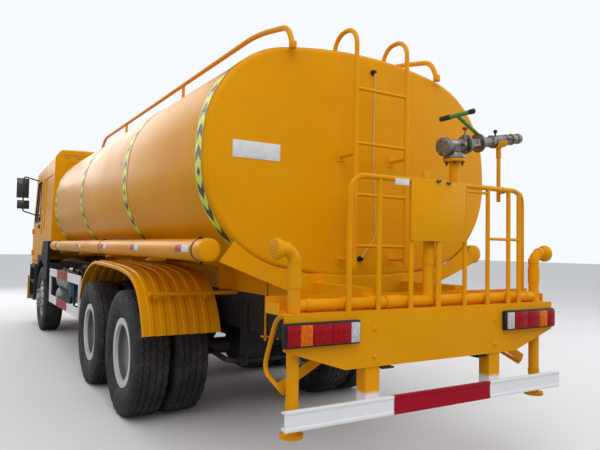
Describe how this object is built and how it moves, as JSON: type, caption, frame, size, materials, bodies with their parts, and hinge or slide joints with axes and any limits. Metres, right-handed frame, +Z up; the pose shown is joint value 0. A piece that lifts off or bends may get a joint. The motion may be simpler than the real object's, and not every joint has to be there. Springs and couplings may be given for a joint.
{
  "type": "water tanker truck",
  "caption": "Six-wheel-station water tanker truck with a tilting cab, long rounded tank, rear spray pipes and a water cannon.",
  "frame": {"origin": "on the ground under the middle of the truck's length and width", "axes": "+X towards the truck's left side, +Y towards its rear, +Z up"},
  "size_m": [3.006, 9.781, 3.0398],
  "materials": {
    "frame_black": "satin chassis black",
    "engine_iron": "raw casting",
    "tank_alloy": "brushed",
    "guard_plastic": "matt moulded",
    "cab_paint": "gloss yellow",
    "grille_dark": "matt",
    "tank_yellow": "gloss yellow",
    "fitting_yellow": "gloss yellow",
    "pipe_yellow": "gloss yellow",
    "guard_yellow": "gloss yellow",
    "cannon_iron": "dull",
    "guard_white": "white with red middles",
    "bar_paint": "gloss white with a red middle",
    "lamp_red": "clear moulded",
    "lamp_clear": "clear moulded",
    "glass_tinted": "tinted",
    "mirror_case": "matt moulded",
    "seat_cloth": "woven",
    "dash_plastic": "grained",
    "tyre_rubber": "matt",
    "wheel_paint": "silver grey"
  },
  "bodies": {
    "chassis": {"frame_rails": "frame_black", "cross_members": "frame_black", "front_axle": "frame_black", "drive_axles": "frame_black", "leaf_springs": "frame_black", "engine_block": "engine_iron", "fuel_tank": "tank_alloy", "air_tanks": "tank_alloy", "side_guards": "guard_white", "rear_mudguards": "guard_yellow", "splash_panels": "guard_plastic", "front_bumper": "cab_paint", "headlamps": "lamp_clear", "cab_steps": "frame_black", "water_tank": "tank_yellow", "hose_tubes": "tank_yellow", "rear_platform": "fitting_yellow", "tail_lamps": "lamp_red", "underrun_bar": "bar_paint", "guard_fence": "fitting_yellow", "spray_pipes": "pipe_yellow", "ladder": "fitting_yellow", "top_rails": "fitting_yellow", "filler_collar": "tank_yellow", "anti_roll_bar": "frame_black", "propeller_shafts": "frame_black", "rear_skirt": "fitting_yellow", "tank_saddles": "fitting_yellow", "subframe_beams": "fitting_yellow"},
    "cab": {"cab_shell": "cab_paint", "windscreen": "glass_tinted", "seats": "seat_cloth", "dashboard": "dash_plastic", "front_grille": "grille_dark", "wheel_arches": "guard_plastic"},
    "door_left": {"door_left": "cab_paint", "door_glass_left": "glass_tinted", "mirror_left": "mirror_case"},
    "door_right": {"door_right": "cab_paint", "door_glass_right": "glass_tinted", "mirror_right": "mirror_case"},
    "knuckle_left": {"knuckle_left": "frame_black"},
    "knuckle_right": {"knuckle_right": "frame_black"},
    "tie_rod": {"tie_rod": "frame_black"},
    "front_wheel_left": {"front_tyre_left": "tyre_rubber", "front_rim_left": "wheel_paint"},
    "front_wheel_right": {"front_tyre_right": "tyre_rubber", "front_rim_right": "wheel_paint"},
    "middle_wheels_left": {"middle_tyres_left": "tyre_rubber", "middle_rims_left": "wheel_paint"},
    "middle_wheels_right": {"middle_tyres_right": "tyre_rubber", "middle_rims_right": "wheel_paint"},
    "rear_wheels_left": {"rear_tyres_left": "tyre_rubber", "rear_rims_left": "wheel_paint"},
    "rear_wheels_right": {"rear_tyres_right": "tyre_rubber", "rear_rims_right": "wheel_paint"},
    "cannon_body": {"cannon_body": "cannon_iron"},
    "cannon_barrel": {"cannon_barrel": "cannon_iron"},
    "filler_lid": {"filler_lid": "tank_yellow"}
  },
  "joints": [
    {"name": "cab_tilt", "type": "hinge", "parent": "chassis", "child": "cab", "pos_m": [0, -4.7705, 0.95], "axis": [1, 0, 0], "range_deg": [0, 50]},
    {"name": "door_left_swing", "type": "hinge", "parent": "cab", "child": "door_left", "pos_m": [1.18, -4.7535, 1.9], "axis": [0, 0, -1], "range_deg": [0, 70]},
    {"name": "door_right_swing", "type": "hinge", "parent": "cab", "child": "door_right", "pos_m": [-1.18, -4.7535, 1.9], "axis": [0, 0, 1], "range_deg": [0, 70]},
    {"name": "steer_left", "type": "hinge", "parent": "chassis", "child": "knuckle_left", "pos_m": [0.85, -3.3905, 0.54], "axis": [0, 0, 1], "range_deg": [-35, 35]},
    {"name": "steer_right", "type": "hinge", "parent": "chassis", "child": "knuckle_right", "pos_m": [-0.85, -3.3905, 0.54], "axis": [0, 0, 1], "range_deg": [-35, 35]},
    {"name": "tie_rod_pivot", "type": "hinge", "parent": "knuckle_left", "child": "tie_rod", "pos_m": [0.85, -3.2005, 0.39], "axis": [0, 0, 1], "range_deg": [-35, 35]},
    {"name": "front_wheel_left_spin", "type": "hinge", "parent": "knuckle_left", "child": "front_wheel_left", "pos_m": [1.024, -3.3905, 0.54], "axis": [1, 0, 0], "continuous": true},
    {"name": "front_wheel_right_spin", "type": "hinge", "parent": "knuckle_right", "child": "front_wheel_right", "pos_m": [-1.024, -3.3905, 0.54], "axis": [1, 0, 0], "continuous": true},
    {"name": "middle_wheels_left_spin", "type": "hinge", "parent": "chassis", "child": "middle_wheels_left", "pos_m": [0.9305, 0.9345, 0.54], "axis": [1, 0, 0], "continuous": true},
    {"name": "middle_wheels_right_spin", "type": "hinge", "parent": "chassis", "child": "middle_wheels_right", "pos_m": [-0.9305, 0.9345, 0.54], "axis": [1, 0, 0], "continuous": true},
    {"name": "rear_wheels_left_spin", "type": "hinge", "parent": "chassis", "child": "rear_wheels_left", "pos_m": [0.9305, 2.2845, 0.54], "axis": [1, 0, 0], "continuous": true},
    {"name": "rear_wheels_right_spin", "type": "hinge", "parent": "chassis", "child": "rear_wheels_right", "pos_m": [-0.9305, 2.2845, 0.54], "axis": [1, 0, 0], "continuous": true},
    {"name": "cannon_pan", "type": "hinge", "parent": "chassis", "child": "cannon_body", "pos_m": [-0.192, 4.7685, 2.048], "axis": [0, 0, -1], "range_deg": [0, 180]},
    {"name": "cannon_tilt", "type": "hinge", "parent": "cannon_body", "child": "cannon_barrel", "pos_m": [-0.3473, 4.7685, 2.1641], "axis": [0, 1, 0], "range_deg": [0, 35]},
    {"name": "filler_lid_hinge", "type": "hinge", "parent": "chassis", "child": "filler_lid", "pos_m": [0, 1.553, 2.988], "axis": [-1, 0, 0], "range_deg": [0, 110]}
  ],
  "couplings": [
    {"joint": "steer_right", "follows": "steer_left", "ratio": 1},
    {"joint": "tie_rod_pivot", "follows": "steer_left", "ratio": -1}
  ]
}
